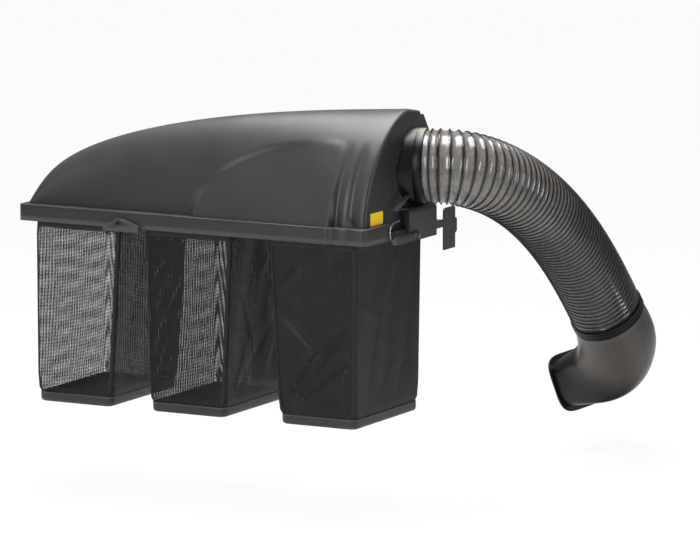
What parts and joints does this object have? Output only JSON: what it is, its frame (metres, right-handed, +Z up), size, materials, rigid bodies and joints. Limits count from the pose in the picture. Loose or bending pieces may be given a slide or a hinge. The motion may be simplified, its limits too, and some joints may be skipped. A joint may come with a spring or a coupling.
{
  "type": "three-bag grass collector",
  "caption": "Rear grass collector for a lawn tractor: sloped black hood on a hinge, hanging mesh bags, steel carrying frame with hitch plate, corrugated duct and lower chute.",
  "frame": {"origin": "middle of the hitch plate's front face", "axes": "+X to the right seen from behind, +Y forward towards the tractor, +Z up"},
  "size_m": [1.6068, 1.74, 1.158],
  "materials": {
    "hood_plastic": "moulded black plastic, satin",
    "housing_plastic": "moulded dark grey plastic, satin",
    "frame_steel": "black powder coat",
    "zinc": "zinc plated",
    "mesh_cloth": "black coated mesh cloth",
    "tray_plastic": "moulded dark grey plastic",
    "collar_plastic": "moulded black plastic",
    "hose_plastic": "smoky corrugated plastic",
    "rubber": "black rubber",
    "boot_plastic": "moulded grey plastic"
  },
  "bodies": {
    "frame": {"bag_left_fabric": "mesh_cloth", "bag_left_tray": "tray_plastic", "bag_left_frame": "housing_plastic", "bag_left_grip": "hood_plastic", "bag_middle_fabric": "mesh_cloth", "bag_middle_tray": "tray_plastic", "bag_middle_frame": "housing_plastic", "bag_middle_grip": "hood_plastic", "bag_right_fabric": "mesh_cloth", "bag_right_tray": "tray_plastic", "bag_right_frame": "housing_plastic", "bag_right_grip": "hood_plastic", "rear_rail": "frame_steel", "front_rail": "frame_steel", "end_rail_left": "frame_steel", "end_rail_right": "frame_steel", "mid_rail_left": "frame_steel", "mid_rail_right": "frame_steel", "bumper_rear_left": "rubber", "bumper_rear_right": "rubber", "bumper_end_left": "rubber", "bumper_end_right": "rubber", "hitch_plate": "frame_steel", "hitch_bolt_1": "zinc", "hitch_bolt_2": "zinc", "hitch_bolt_3": "zinc", "hitch_bolt_4": "zinc", "mast_left": "frame_steel", "mast_right": "frame_steel", "mast_brace": "frame_steel", "hinge_post_left": "frame_steel", "hinge_post_right": "frame_steel", "side_stay": "frame_steel", "latch_bracket": "frame_steel", "hinge_pin_left": "zinc", "hinge_pin_right": "zinc", "latch_pin": "zinc", "front_housing": "housing_plastic", "inlet_collar": "collar_plastic", "hose": "hose_plastic", "hose_cuff": "rubber", "lower_chute": "boot_plastic"},
    "hood": {"hood": "hood_plastic", "lift_handle": "housing_plastic", "hinge_arm_left": "frame_steel", "hinge_arm_right": "frame_steel"},
    "latch_lever": {"latch_lever": "hood_plastic"},
    "latch_hook": {"latch_hook": "zinc"}
  },
  "joints": [
    {"name": "hood_hinge", "type": "hinge", "parent": "frame", "child": "hood", "pos_m": [0, -0.1625, 0.75], "axis": [-1, 0, 0], "range_deg": [0, 65]},
    {"name": "latch_swing", "type": "hinge", "parent": "frame", "child": "latch_lever", "pos_m": [0.652, -0.365, 0.495], "axis": [1, 0, 0], "range_deg": [0, 70]},
    {"name": "hook_swing", "type": "hinge", "parent": "latch_lever", "child": "latch_hook", "pos_m": [0.652, -0.528, 0.495], "axis": [1, 0, 0], "range_deg": [0, 45]}
  ]
}
